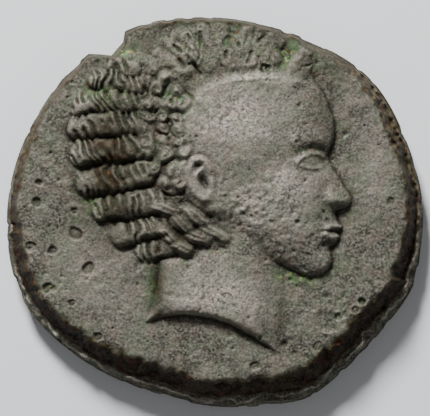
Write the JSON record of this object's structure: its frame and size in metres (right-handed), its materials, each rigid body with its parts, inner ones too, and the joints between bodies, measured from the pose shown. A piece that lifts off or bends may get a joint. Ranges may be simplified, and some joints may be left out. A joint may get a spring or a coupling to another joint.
{
  "type": "ancient bronze coin",
  "caption": "Thick struck bronze coin with an uneven round flan, a head in profile with twisted locks on the obverse and a worn elephant on the reverse.",
  "frame": {"origin": "on the plane that the coin lies on, reverse down, under the middle of its outline", "axes": "+Z out of the obverse, +Y towards the top of the head, +X the way the head looks"},
  "size_m": [0.019, 0.0178, 0.0033],
  "materials": {
    "patinated_bronze": "matt grey-green patina, rubbed on the high parts"
  },
  "bodies": {
    "root": {"coin": "patinated_bronze"}
  },
  "joints": []
}
